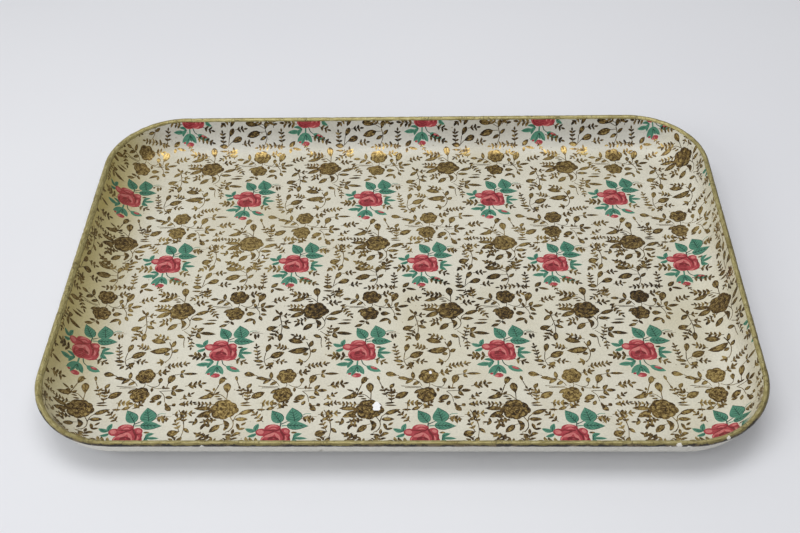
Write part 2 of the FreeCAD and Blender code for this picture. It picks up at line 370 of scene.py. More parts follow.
    sprig((-6.4, -2.8), (-18.2, -1.8), 3.3)
    sprig((7.6, -4.4), (15.8, -7.7), 2.7)
    leaf(UMBER, (8.5, 4.1), (11.8, 4.2), 1.1)
    stroke(UMBER, [(13.4, 14.2), (17.0, 14.7), (21.5, 14.4)], 0.35, 0.2)
    for base, tip, width in (
        ((15.4, 14.3), (14.2, 12.9), 1.2), ((17.0, 14.4), (18.0, 9.8), 1.4),
        ((18.9, 14.4), (19.3, 10.8), 1.3),
    ):
        leaf(UMBER, base, tip, width)


def rose_head(radius, petals, turn, flat=0.94):
    """A full gold rose: a round umber bloom with rings of lit petal edges, closer towards its heart."""
    ellipse(UMBER, (0, 0), 1.72 * radius, 1.74 * flat * radius, points=20)
    for index in range(petals):
        angle = turn + 2 * math.pi * (index + random.uniform(-0.16, 0.16)) / petals
        centre = (0.5 * radius * math.cos(angle), 0.5 * flat * radius * math.sin(angle))
        size = radius * random.uniform(0.98, 1.16)
        ellipse(UMBER, centre, size, 0.94 * size, math.degrees(angle))
    for ring, count, width in ((0.84, petals, 0.15), (0.66, petals, 0.15), (0.47, 4, 0.14), (0.27, 3, 0.12)):
        for index in range(count):
            angle = turn + ring * 4 + 2 * math.pi * (index + random.uniform(-0.18, 0.18)) / count
            reach = radius * ring * random.uniform(0.88, 1.06)
            swing = random.uniform(1.4, 2.6) / count
            tilt = random.uniform(-0.08, 0.08)
            points = []
            for offset, pull in ((-swing, 0.84), (-0.5 * swing, 0.97), (0.5 * swing, 0.97), (swing, 0.86)):
                pull = pull * (1 + tilt * offset / swing)
                points.append((reach * pull * math.cos(angle + offset),
                               flat * reach * pull * math.sin(angle + offset)))
            crescent(GOLD, points, radius * width * random.uniform(0.6, 1.3))
    ellipse(GOLD, (0.03 * radius, -0.03 * radius), 0.2 * radius, 0.14 * radius, 30, points=7)


def gold_rose():
    """The large gold rose with its bud, leaves and curled stem. Its centre is the bloom's."""
    stroke(UMBER, [(0.7, 6.0), (0.7, 12.0)], 0.5)
    bud((0.7, 10.6), (-0.5, 18.3), 4.3)
    lit_leaf((-6.4, 0.8), (-15.9, 0.9), 2.5)
    lit_leaf((-5.8, -1.0), (-13.9, -5.1), 3.1)
    lit_leaf((-5.6, 10.9), (-14.6, 7.5), 2.6, bend=0.05)
    stroke(UMBER, [(-6.2, 10.3), (-2.7, 10.0), (0.4, 7.2)], 0.45)
    leaf(UMBER, (-2.8, 8.9), (-6.3, 8.9), 0.9)
    leaf(UMBER, (-1.4, 7.3), (-4.8, 7.2), 1.0)
    sprig((-5.4, 3.6), (-16.6, 3.8), 2.1)
    sprig((-3.4, -6.2), (-11.7, -8.6), 2.2)
    leaf(UMBER, (-7.8, -9.0), (-10.9, -12.3), 1.7)
    leaf(UMBER, (-7.4, -8.6), (-6.0, -11.6), 1.3)

    stroke(UMBER, [(4.0, -4.8), (5.9, -8.0), (6.1, -11.0), (4.7, -13.6), (2.6, -14.9)], 0.5, 0.4)
    leaf(UMBER, (0.6, -6.6), (1.9, -14.0), 2.3, bend=0.24)
    lit_leaf((-0.7, -9.9), (-5.9, -15.0), 3.0)
    stroke(UMBER, [(-0.9, -10.0), (2.4, -9.0)], 0.35)
    stroke(UMBER, [(6.0, -8.0), (6.8, -4.6), (8.6, -3.0)], 0.5, 0.4)
    lit_leaf((8.1, -3.1), (16.4, 0.2), 2.5)
    lit_leaf((6.4, -6.3), (13.6, -6.3), 2.2)

    for centre, length, width, turn in (
        ((5.9, -0.4), 4.4, 4.6, 0), ((-6.0, -0.2), 4.2, 3.2, 0), ((-3.4, -3.4), 4.6, 3.6, 30),
    ):
        ellipse(UMBER, centre, length, width, turn)
    rose_head(7.0, 7, 0.4, flat=0.87)


def twin_roses():
    """Two smaller gold roses, one above the other, with their leaves. Its centre is the upper bloom's."""
    for points in (
        [(-14.5, -6.8), (-9.0, -7.3), (-4.0, -7.2)], [(-12.5, -8.1), (-8.0, -8.0), (-3.2, -8.2)],
        [(-12.0, -1.3), (-7.5, -2.2), (-4.5, -4.8), (-3.3, -7.0)], [(0.4, -4.4), (0.7, -6.4), (-0.6, -9.0)],
        [(8.6, -5.2), (7.5, -7.0), (4.5, -7.3), (1.6, -5.8)], [(4.6, -7.4), (8.0, -8.4), (12.6, -8.2)],
        [(-1.8, -17.0), (-2.3, -18.5), (-4.5, -21.1)],
    ):
        stroke(UMBER, points, 0.45, 0.35)
    lit_leaf((-11.6, -1.3), (-16.6, -1.2), 1.9)
    lit_leaf((-8.0, -2.0), (-8.6, 3.3), 1.9)
    lit_leaf((-7.9, -2.3), (-12.3, -5.5), 2.0, bend=-0.1)
    lit_leaf((-4.7, -3.6), (-8.5, -6.3), 1.9)
    lit_leaf((-3.6, -9.2), (-7.7, -11.9), 2.1)
    leaf(UMBER, (-2.4, -8.7), (1.2, -8.0), 1.3)
    leaf(UMBER, (4.9, -7.8), (5.2, -11.0), 1.4)
    bud((8.5, -5.6), (8.6, -1.0), 2.6)
    sprig((5.4, 2.0), (13.0, 3.9), 2.8)
    leaf(UMBER, (-3.0, -18.8), (-6.7, -18.9), 1.5)
    leaf(UMBER, (-2.6, -18.7), (-0.6, -21.5), 1.5)
    lit_leaf((-4.2, -21.0), (-8.9, -23.0), 1.9)
    moved(rose_head, (0.0, 0.0), 5.5, 6, 0.3, 0.93)
    moved(rose_head, (-0.9, -12.9), 5.3, 6, 1.2, 0.92)


def fillers():
    """The sprigs, buds and leaves that fill the ground between the roses."""
    for base, tip, length in (
        ((1.4, -15.3), (11.4, -11.6), 2.7), ((24.2, -10.4), (11.0, -8.8), 3.0),
        ((40.6, -12.6), (39.4, -3.4), 2.7), ((36.2, -9.2), (30.2, -14.4), 2.3),
        ((33.2, -16.9), (42.2, -15.2), 3.0), ((41.6, -17.9), (48.9, -28.3), 2.5),
        ((24.6, -44.6), (14.4, -40.2), 2.6), ((7.8, -26.4), (13.7, -25.2), 2.3),
        ((8.7, -30.4), (14.4, -31.7), 2.6), ((7.4, -36.6), (2.4, -45.8), 2.8),
        ((34.3, -46.0), (37.2, -33.0), 2.3), ((-1.4, -60.2), (-4.0, -47.0), 2.3),
        ((14.6, -51.3), (5.9, -48.4), 2.6), ((6.9, -60.8), (3.1, -66.4), 2.5),
        ((6.6, -59.8), (14.9, -60.9), 2.4), ((24.2, -60.4), (19.0, -61.4), 2.9),
        ((24.4, -64.3), (38.2, -61.3), 2.5), ((-4.4, -89.0), (-4.9, -79.0), 2.4),
        ((36.2, -44.4), (36.5, -52.2), 2.3), ((37.6, -77.8), (49.1, -75.4), 3.0),
        ((36.3, -87.0), (43.4, -81.9), 2.4), ((69.6, -85.4), (66.4, -77.4), 2.4),
        ((-4.8, -2.0), (-5.2, 9.0), 2.5), ((5.6, 25.4), (-1.3, 32.9), 2.5), ((2.6, 38.0), (11.6, 38.0), 2.5),
        ((14.8, 3.3), (27.9, -1.4), 2.7), ((32.9, -2.2), (32.2, 8.1), 2.5), ((38.9, 19.3), (35.4, 27.2), 2.3),
        ((38.6, 16.0), (31.7, 9.8), 2.4), ((33.8, 30.2), (46.0, 31.4), 2.4),
        ((60.0, 11.0), (46.4, 18.6), 2.7), ((40.8, 7.9), (49.4, 8.8), 2.7), ((66.2, 9.2), (66.9, 21.0), 3.3),
        ((45.0, -1.8), (53.2, -0.5), 2.5), ((69.4, -2.4), (53.4, -4.4), 2.5),
        ((12.0, 34.0), (17.8, 39.4), 2.4), ((75.2, 44.6), (68.6, 47.2), 2.4),
        ((25.0, 27.6), (32.6, 27.2), 2.6), ((46.8, 18.4), (56.6, 14.8), 2.2),
        ((63.2, 10.4), (64.6, 16.6), 2.1), ((-9.0, -3.6), (-2.6, -3.6), 2.4),
        ((36.2, 36.8), (45.4, 38.6), 2.2), ((9.6, -1.6), (13.4, -7.4), 1.8),
        ((40.4, 24.4), (39.2, 33.6), 2.2), ((50.4, 26.2), (57.6, 26.6), 1.9),
        ((36.2, -5.4), (37.6, -12.4), 2.1),
    ):
        sprig(base, tip, length)
    for base, middle, tip, length in (
        ((-9.0, -19.8), (-3.9, -19.7), (3.9, -18.3), 4.6), ((35.4, -39.3), (38.4, -39.0), (49.1, -40.2), 5.2),
        ((30.8, -69.9), (33.9, -69.1), (43.4, -69.1), 3.6),
        ((25.0, -81.2), (31.0, -80.8), (37.7, -80.7), 4.6),
    ):
        trefoil(base, middle, tip, length)
    for base, tip, width in (
        ((-5.9, -16.2), (-3.3, -8.2), 4.3), ((7.2, -34.4), (0.6, -36.9), 3.9),
        ((2.1, -54.2), (3.8, -47.6), 3.1), ((-1.3, -70.4), (-8.1, -68.9), 3.6),
        ((28.0, -76.7), (30.3, -69.8), 4.2), ((55.6, -77.2), (57.9, -71.2), 3.4),
        ((65.3, -74.8), (64.1, -70.6), 1.7), ((36.7, 2.6), (39.9, 9.0), 3.2),
        ((37.9, -0.5), (45.2, 2.6), 4.2), ((39.4, 19.3), (32.9, 16.9), 4.7),
        ((57.2, 10.7), (48.0, 12.7), 4.0), ((60.6, 7.8), (62.1, 13.8), 2.9),
        ((70.0, -24.5), (64.2, -24.7), 3.5),
    ):
        bud(base, tip, width)
    for base, tip, width, bend in (
        ((26.0, -51.0), (14.0, -53.0), 3.9, 0.06), ((4.6, -57.5), (12.4, -53.6), 3.9, 0.0),
        ((-2.7, -85.9), (4.5, -81.9), 3.6, 0.0), ((26.1, -84.2), (20.2, -87.1), 3.2, 0.0),
        ((57.5, 6.3), (48.4, 3.2), 3.9, 0.0), ((13.5, -44.6), (22.2, -46.7), 3.5, 0.04),
        ((27.3, -40.7), (32.0, -43.0), 2.2, 0.0), ((7.2, -26.0), (3.2, -30.4), 2.3, 0.0),
        ((9.2, -33.7), (13.9, -36.1), 2.1, 0.0), ((9.1, -39.2), (8.7, -45.7), 2.5, 0.0),
        ((26.9, -53.8), (29.9, -51.4), 2.2, 0.0), ((25.7, -54.8), (22.2, -55.1), 2.0, 0.0),
        ((26.1, -50.0), (27.3, -44.9), 2.2, 0.0), ((69.8, -29.0), (63.6, -31.3), 2.1, -0.14),
        ((69.4, -29.2), (69.7, -33.2), 1.5, 0.0), ((68.2, -16.3), (69.4, -20.0), 1.5, 0.0),
        ((72.5, -24.6), (76.2, -25.6), 1.6, 0.0), ((71.8, -26.3), (73.9, -30.0), 1.7, 0.0),
        ((1.9, -63.2), (-0.4, -65.8), 1.6, 0.0), ((1.6, -60.6), (-4.4, -59.6), 1.9, 0.0),
        ((0.2, -72.3), (5.1, -73.1), 1.9, 0.0), ((7.4, -61.2), (3.4, -63.6), 2.0, 0.0),
        ((27.9, -85.2), (32.2, -85.8), 1.8, 0.0), ((-5.6, -79.4), (-3.2, -75.9), 2.0, 0.0),
        ((0.0, -3.9), (3.9, 0.2), 2.5, 0.0), ((36.0, -3.4), (30.2, -2.7), 2.7, 0.0),
        ((35.9, 26.4), (39.7, 28.7), 1.7, 0.0), ((41.1, 21.5), (44.2, 18.3), 1.8, 0.0),
        ((40.9, 15.7), (38.1, 9.9), 2.1, 0.0), ((47.6, 26.6), (45.2, 23.2), 1.7, 0.0),
        ((61.8, 3.9), (65.1, 7.4), 1.9, 0.0), ((61.4, 3.5), (57.0, 0.9), 2.0, 0.0),
        ((63.4, 16.6), (65.9, 14.9), 1.6, 0.0), ((29.2, 35.8), (32.3, 32.6), 2.6, 0.0),
        ((24.7, 36.4), (26.4, 39.6), 1.8, 0.0), ((36.0, 37.2), (40.2, 37.2), 1.8, 0.0),
        ((-9.0, 17.8), (-5.2, 18.2), 1.7, 0.0), ((-8.2, 24.6), (-6.4, 20.4), 1.5, 0.0),
    ):
        lit_leaf(base, tip, width, bend)
    for base, tip, width in (
        ((6.6, -25.0), (4.2, -21.1), 1.2), ((7.4, -26.2), (7.8, -22.7), 1.8),
        ((41.0, -18.8), (44.4, -17.4), 1.4), ((36.7, -7.2), (41.7, -6.8), 1.7),
        ((36.4, -6.6), (30.4, -6.3), 1.2), ((48.2, -31.9), (40.0, -32.3), 1.5),
        ((48.6, -29.5), (42.3, -29.6), 0.9), ((68.4, 36.5), (74.9, 36.3), 0.9),
        ((68.4, 37.7), (73.9, 38.3), 1.1), ((26.0, -80.0), (25.9, -77.2), 1.3),
        ((26.0, -79.2), (29.7, -79.1), 1.0), ((-2.6, -62.8), (1.2, -62.7), 1.1),
        ((53.3, -81.7), (50.4, -83.4), 1.3), ((52.2, -81.5), (47.9, -80.1), 1.1),
        ((53.5, -81.2), (53.2, -78.8), 1.3), ((54.3, -84.0), (56.6, -81.4), 1.4),
        ((57.6, -72.6), (59.8, -72.9), 0.7), ((1.2, 33.5), (6.1, 33.5), 1.2),
        ((19.9, 38.8), (23.6, 39.0), 1.5), ((28.2, 36.3), (33.2, 36.1), 0.6),
        ((-7.0, 20.5), (-3.4, 21.4), 1.3), ((-5.9, 23.1), (-3.2, 25.2), 1.2),
        ((50.9, 23.7), (50.0, 20.2), 1.3), ((52.2, 24.4), (53.7, 21.9), 1.5),
        ((42.7, 25.3), (46.2, 25.4), 1.0), ((46.9, 25.5), (46.4, 28.1), 1.3),
        ((61.4, 17.2), (64.1, 17.6), 1.0), ((32.7, 37.7), (34.3, 35.7), 1.9),
        ((68.9, 24.2), (69.5, 20.4), 1.5), ((64.0, 23.0), (61.8, 19.8), 1.7), ((1.2, -4.6), (0.6, -8.2), 1.6),
        ((1.8, -4.4), (8.2, -5.9), 1.6), ((12.6, 34.2), (16.8, 37.4), 1.4), ((30.4, 34.0), (28.6, 38.4), 1.4),
        ((33.6, 12.6), (31.6, 9.4), 1.5), ((54.4, 28.8), (49.2, 29.8), 2.2),
    ):
        leaf(UMBER, base, tip, width)
    for points, width in (
        ([(-5.9, -16.0), (-6.0, -18.0), (-7.6, -19.9)], 0.5),
        ([(69.6, -19.8), (71.6, -23.0), (72.4, -26.6)], 0.5),
        ([(7.2, -25.4), (8.0, -29.0), (8.8, -32.2), (9.3, -36.0), (9.1, -39.6)], 0.6),
        ([(8.3, -32.6), (7.4, -34.2)], 0.5), ([(31.9, -42.8), (32.0, -47.0), (32.7, -50.2)], 0.5),
        ([(31.0, -38.0), (34.2, -40.4), (35.6, -39.2)], 0.4),
        ([(2.1, -54.0), (1.7, -59.4), (3.2, -63.6)], 0.5), ([(4.8, -57.4), (2.2, -59.4)], 0.4),
        ([(24.0, -46.2), (25.6, -49.8), (26.7, -54.0), (26.0, -58.0), (23.9, -61.2)], 0.6),
        ([(-1.5, -70.3), (0.5, -71.8)], 0.5), ([(28.0, -76.4), (27.7, -79.2)], 0.5),
        ([(30.4, -70.0), (31.4, -69.6)], 0.4), ([(24.4, -81.2), (27.2, -84.2), (28.3, -88.6)], 0.45),
        ([(55.6, -77.0), (54.3, -81.0), (52.4, -86.2)], 0.6), ([(65.2, -74.5), (66.9, -78.6)], 0.5),
        ([(4.1, 38.0), (4.0, 32.2)], 0.4), ([(36.8, 2.9), (36.4, -0.6), (35.9, -3.4)], 0.5),
        ([(38.2, -0.4), (36.3, -2.6)], 0.45), ([(36.7, 33.4), (39.8, 27.6), (41.0, 21.0), (40.4, 15.0)], 0.5),
        ([(57.0, 10.7), (60.5, 8.6)], 0.45), ([(60.7, 8.0), (61.4, 5.0), (61.5, 1.6), (60.0, -2.6)], 0.55),
        ([(57.3, 6.2), (61.2, 6.4)], 0.4), ([(66.2, 26.6), (66.4, 22.0), (64.4, 18.8)], 0.45),
        ([(-7.2, -38.9), (-3.0, -38.6)], 0.5),
    ):
        stroke(UMBER, points, width, 0.75 * width)


for place in ((12.0, 13.3), (53.9, -55.3)):
    moved(red_rose, place)
for place in ((15.0, -72.0), (58.8, -12.9)):
    moved(twin_roses, place)
for place in ((27.0, -23.4), (60.3, 32.4)):
    moved(gold_rose, place)
moved(fillers, (0.0, -1.1))

# ---- cutting the sheet into inks ----

BLOCK_U, BLOCK_V = -8.0, -88.0  # the block's lower left corner, from the middle of the sheet
SNAP = 1e-4  # closer points are one point in the cut
WELD = 0.002  # and one point where two copies of the block meet
ON_LINE = 1e-6  # a point this close to a cutting line lies on it
OFF_FLOOR = 0.01  # how far beyond the flat floor a triangle has to reach to be bent at a corner


def cut_block():
    """The block as triangles, each of one ink: its points, its triangles and their inks."""
    corners = [(0, 0), (BLOCK_LENGTH, 0), (BLOCK_LENGTH, BLOCK_WIDTH), (0, BLOCK_WIDTH)]
    points = [Vector((BLOCK_U + x, BLOCK_V + y)) for x, y in corners]
    faces = [[0, 1, 2, 3]]
    inks = [BARE]
    for ink, outline in shapes:
        area = sum(a.x * b.y - a.y * b.x for a, b in zip(outline, outline[1:] + outline[:1]))
        ring = outline if area > 0 else outline[::-1]
        low_u, high_u = min(p.x for p in ring), max(p.x for p in ring)
        low_v, high_v = min(p.y for p in ring), max(p.y for p in ring)
        for across in (-1, 0, 1):
            for up in (-1, 0, 1):
                shift = Vector((across * BLOCK_LENGTH, up * BLOCK_WIDTH))
                outside_u = low_u + shift.x > BLOCK_U + BLOCK_LENGTH or high_u + shift.x < BLOCK_U
                outside_v = low_v + shift.y > BLOCK_V + BLOCK_WIDTH or high_v + shift.y < BLOCK_V
                if outside_u or outside_v:
                    continue
                faces.append(list(range(len(points), len(points) + len(ring))))
                points.extend(point + shift for point in ring)
                inks.append(ink)
    cut = geometry.delaunay_2d_cdt(points, [], faces, 1, SNAP)
    cut_points, triangles, sources = cut[0], cut[2], cut[5]
    kept = [(triangle, inks[max(source)]) for triangle, source in zip(triangles, sources) if 0 in source]
    triangles = np.array([triangle for triangle, ink in kept])
    kept_inks = np.array([ink for triangle, ink in kept])
    flat = np.array([tuple(point) for point in cut_points])
    return flat, triangles, kept_inks


def whole_triangles(triangles):
    """Which triangles have three different corners, and are not a second copy of another."""
    corners = np.sort(triangles, axis=1)
    whole = (corners[:, 0] != corners[:, 1]) & (corners[:, 1] != corners[:, 2])
    unused, first = np.unique(corners, axis=0, return_index=True)
    single = np.zeros(len(triangles), bool)
    single[first] = True
    return whole & single


def copies(reach, start, size):
    """Which copies of the block cover the sheet one way, as far as reach on each side of its middle."""
    return range(math.floor((-reach - start) / size), math.ceil((reach - start) / size))


def repeat_block(points, triangles, inks):
    """Enough copies of the block to cover the flat sheet, welded along their borders."""
    reach_u, reach_v = FLAT_X + PAPER_EDGE, FLAT_Y + PAPER_EDGE
    columns = copies(reach_u, BLOCK_U, BLOCK_LENGTH)
    rows = copies(reach_v, BLOCK_V, BLOCK_WIDTH)
    shifts = [(column * BLOCK_LENGTH, row * BLOCK_WIDTH) for row in rows for column in columns]
    all_points = np.concatenate([points + shift for shift in shifts])
    all_triangles = np.concatenate([triangles + index * len(points) for index in range(len(shifts))])
    keys = np.round(all_points / WELD).astype(np.int64)
    unused, first, merged = np.unique(keys, axis=0, return_index=True, return_inverse=True)
    all_triangles = merged.reshape(-1)[all_triangles]
    whole = whole_triangles(all_triangles)
    return all_points[first], all_triangles[whole], np.tile(inks, len(shifts))[whole]


def split(points, triangles, inks, levels, among=None):
    """Cut the triangles along the line where the points' levels are zero. among picks which to cut."""
    levels = np.where(np.abs(levels) < ON_LINE, 0.0, levels)
    signs = np.sign(levels)[triangles]
    crossing = (signs.min(axis=1) < 0) & (signs.max(axis=1) > 0)
    if among is not None:
        crossing &= among
    new_points, new_triangles, new_inks = [], [], []
    on_edge = {}

    def between(a, b):
        key = (a, b) if a < b else (b, a)
        if key not in on_edge:
            share = levels[key[0]] / (levels[key[0]] - levels[key[1]])
            on_edge[key] = len(points) + len(new_points)
            new_points.append(points[key[0]] + share * (points[key[1]] - points[key[0]]))
        return on_edge[key]

    for index in np.nonzero(crossing)[0]:
        a, b, c = (int(corner) for corner in triangles[index])
        sign = {corner: np.sign(levels[corner]) for corner in (a, b, c)}
        for first, second, third in ((a, b, c), (b, c, a), (c, a, b)):
            if sign[first] == 0:
                middle = between(second, third)
                pieces = [(first, second, middle), (first, middle, third)]
                break
            if sign[first] != sign[second] and sign[second] == sign[third]:
                near, far = between(first, second), between(first, third)
                pieces = [(first, near, far), (near, second, third), (near, third, far)]
                break
        new_triangles.extend(pieces)
        new_inks.extend([inks[index]] * len(pieces))
    if not new_triangles:
        return points, triangles, inks
    return (
        np.concatenate([points, np.array(new_points)]),
        np.concatenate([triangles[~crossing], np.array(new_triangles)]),
        np.concatenate([inks[~crossing], np.array(new_inks)]),
    )


def keep(points, triangles, inks, wanted):
    """The triangles that are wanted and whole, and only the points that they use."""
    wanted = wanted & whole_triangles(triangles)
    triangles, inks = triangles[wanted], inks[wanted]
    used, renamed = np.unique(triangles, return_inverse=True)
    return points[used], renamed.reshape(-1, 3), inks


COVE_STEPS, WALL_STEPS, CORNER_STEPS = 14, 2, 15


def cut_sheet():
    """The whole lining as a flat sheet, trimmed to its edge, with edges where it will bend."""
    points, triangles, inks = repeat_block(*cut_block())
    beyond = beyond_floor(points[:, 0], points[:, 1])[0]
    points, triangles, inks = keep(points, triangles, inks, beyond[triangles].min(axis=1) < PAPER_EDGE)
    bends = [COVE_ARC * step / COVE_STEPS for step in range(COVE_STEPS + 1)]
    bends += [COVE_ARC + WALL_STRAIGHT * step / WALL_STEPS for step in range(1, WALL_STEPS + 1)]
    for bend in bends:
        beyond = beyond_floor(points[:, 0], points[:, 1])[0]
        points, triangles, inks = split(points, triangles, inks, beyond - bend)
    beyond = beyond_floor(points[:, 0], points[:, 1])[0]
    middle = beyond[triangles].mean(axis=1)
    points, triangles, inks = keep(points, triangles, inks, middle < PAPER_EDGE)
    for side_x in (-1, 1):
        for side_y in (-1, 1):
            for step in range(CORNER_STEPS + 1):
                angle = 0.5 * math.pi * step / CORNER_STEPS
                x = side_x * points[:, 0] - (FLAT_X - FLAT_CORNER)
                y = side_y * points[:, 1] - (FLAT_Y - FLAT_CORNER)
                beyond = beyond_floor(points[:, 0], points[:, 1])[0]
                outside = beyond[triangles].max(axis=1) > OFF_FLOOR
                outside &= (x[triangles].max(axis=1) > -ON_LINE) & (y[triangles].max(axis=1) > -ON_LINE)
                levels = math.cos(angle) * y - math.sin(angle) * x
                points, triangles, inks = split(points, triangles, inks, levels, outside)
    return keep(points, triangles, inks, np.ones(len(triangles), bool))


def knock_out(points, triangles, inks, centre, radius):
    """Take the print off in a ragged spot, so that the chalky ground beneath it shows."""
    def depth(places):
        away = places - centre
        turn = np.arctan2(away[:, 1], away[:, 0])
        ragged = 1 + 0.2 * np.sin(2 * turn - 1.6) + 0.12 * np.sin(5 * turn)
        return np.hypot(away[:, 0], away[:, 1]) - radius * ragged

    points, triangles, inks = split(points, triangles, inks, depth(points))
    inside = depth(points[triangles].mean(axis=1)) < 0
    return points, triangles, np.where(inside, CHALK, inks)


# ---- meshes ----


def add_mesh(name, points, faces, normals=None, **attributes):
    """A smooth mesh object, from millimetres. An attribute has a value or a vector per point or face."""
    mesh = bpy.data.meshes.new(name)
    mesh.from_pydata((np.asarray(points) * MM).tolist(), [], np.asarray(faces).tolist())
    mesh.shade_smooth()
    for key, values in attributes.items():
        values = np.asarray(values, np.float32)
        domain = "POINT" if len(values) == len(points) else "FACE"
        if values.ndim == 2:
            mesh.attributes.new(key, "FLOAT_VECTOR", domain).data.foreach_set("vector", values.ravel())
        else:
            mesh.attributes.new(key, "FLOAT", domain).data.foreach_set("value", values)
    if normals is not None:
        mesh.normals_split_custom_set_from_vertices(normals)
    item = bpy.data.objects.new(name, mesh)
    bpy.context.scene.collection.objects.link(item)
    return item


def dress(item, material, node):
    """Give a piece its material, and let it stand for a CAD node."""
    item.data.materials.append(material)
    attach(item, "root")
    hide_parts(node)


# ---- materials ----


def linear(red, green, blue, shade=1.0):
    """A colour given as on screen, 0 to 255. shade darkens it."""
    shares = [value / 255 for value in (red, green, blue)]
    light = [c / 12.92 if c <= 0.04045 else ((c + 0.055) / 1.055) ** 2.4 for c in shares]
    return tuple(shade * c for c in light) + (1.0,)


class Finish:
    """A material under construction, with short ways to add its nodes. colour is its colour so far."""

    def __init__(self, name):
        self.material = bpy.data.materials.new(name)
        self.material.use_nodes = True
        self.tree = self.material.node_tree
        self.shader = self.tree.nodes["Principled BSDF"]
        self.place = self.add("ShaderNodeTexCoord").outputs["Object"]
        self.colour = None

    def put(self, socket, value):
        """Set a socket, or link it if the value is another node's output."""
        if isinstance(value, bpy.types.NodeSocket):
            self.tree.links.new(value, socket)
        else:
            socket.default_value = value

    def add(self, kind, inputs=None, **settings):
        """Add a node. Its inputs are given by their names or numbers."""
        node = self.tree.nodes.new(kind)
        for key, value in settings.items():
            setattr(node, key, value)
        for key, value in (inputs or {}).items():
            self.put(node.inputs[key], value)
        return node

    def done(self, **inputs):
        """Give the shader its colour and its other inputs, and hand over the material."""
        for key, value in {"Base_Color": self.colour, **inputs}.items():
            self.put(self.shader.inputs[key.replace("_", " ")], value)
        return self.material

    def attribute(self, name, output="Fac"):
        return self.add("ShaderNodeAttribute", attribute_name=name).outputs[output]

    def noise(self, scale, detail=2.0, rough=0.5, distortion=0.0, place=None):
        inputs = {"Vector": place or self.place, "Scale": scale, "Detail": detail, "Roughness": rough,
                  "Distortion": distortion}
        return self.add("ShaderNodeTexNoise", inputs).outputs["Fac"]

    def cells(self, scale, feature="F1", place=None):
        inputs = {"Vector": place or self.place, "Scale": scale}
        return self.add("ShaderNodeTexVoronoi", inputs, feature=feature).outputs["Distance"]

    def stretched(self, place, scale, turn=(0, 0, 0)):
        inputs = {"Vector": place, "Scale": scale, "Rotation": turn}
        return self.add("ShaderNodeMapping", inputs).outputs["Vector"]

    def part(self, axis, place=None):
        return self.add("ShaderNodeSeparateXYZ", {"Vector": place or self.place}).outputs[axis]

    def math(self, operation, first, second=0.0):
        return self.add("ShaderNodeMath", {0: first, 1: second}, operation=operation).outputs["Value"]

    def plus(self, first, second):
        return self.math("ADD", first, second)

    def times(self, first, second):
        return self.math("MULTIPLY", first, second)

    def ease(self, value, low, high, to_low=0.0, to_high=1.0):
        """A value eased from one range to another, and held at its ends."""
        inputs = dict(enumerate((value, low, high, to_low, to_high)))
        return self.add("ShaderNodeMapRange", inputs, interpolation_type="SMOOTHSTEP").outputs["Result"]

    def patches(self, low, high, share, *texture):
        """Patches of noise: 0 where the noise is below low, share where it is above high."""
        return self.ease(self.noise(*texture), low, high, 0.0, share)

    def ramp(self, value, *stops):
        """The colours along a ramp. Each stop has its position and its colour."""
        node = self.add("ShaderNodeValToRGB", {"Fac": value})
        elements = node.color_ramp.elements
        while len(elements) < len(stops):
            elements.new(0.5)
        for element, (position, *colour) in zip(elements, stops):
            element.position = position
            element.color = linear(*colour)
        return node.outputs["Color"]

    def mix(self, share, first, second, blend="MIX"):
        inputs = {"Factor": share, 6: first, 7: second}
        return self.add("ShaderNodeMix", inputs, data_type="RGBA", blend_type=blend).outputs[2]

    def stain(self, share, red, green, blue):
        """Blend a plain colour into the colour so far."""
        self.colour = self.mix(share, self.colour, linear(red, green, blue))

    def grain(self, scale, *dark):
        """Darken the colour so far by a fine grain."""
        grain = self.ramp(self.noise(scale, 4, 0.7), (0.3, *dark), (0.6, 255, 255, 255))
        self.colour = self.mix(1.0, self.colour, grain, "MULTIPLY")

    def bump(self, height, distance, strength=1.0, normal=None):
        inputs = {"Strength": strength, "Distance": distance, "Height": height}
        if normal is not None:
            inputs["Normal"] = normal
        return self.add("ShaderNodeBump", inputs).outputs["Normal"]


def up_wall(finish):
    """0 on the floor, rising to 1 at the top of the wall."""
    return finish.ease(finish.part("Z"), 0.0075, 0.0235)


def paper_wear(finish):
    """What shows over all of the print: its yellowing, and the relief of paper and varnish."""
    to_left = finish.ease(finish.part("X"), -0.152, -0.184)
    to_left = finish.times(to_left, finish.ease(finish.part("Y"), -0.12, -0.05, 0.55, 0.95))
    warm_wall = finish.times(up_wall(finish), finish.ease(finish.part("Y"), 0.105, 0.085, 0.0, 0.22))
    yellow = finish.plus(finish.plus(to_left, warm_wall), finish.patches(0.45, 0.8, 0.35, 9, 4, 0.6))
    crumple = finish.noise(55, 3, 0.55, 0.4)
    fibres = finish.noise(1500, 3, 0.6, 0.0, finish.stretched(finish.place, (1.0, 0.55, 1.0), (0, 0, 0.5)))
    relief = finish.bump(fibres, 0.00004, 0.5, finish.bump(crumple, 0.0009, 0.28))
    return yellow, relief


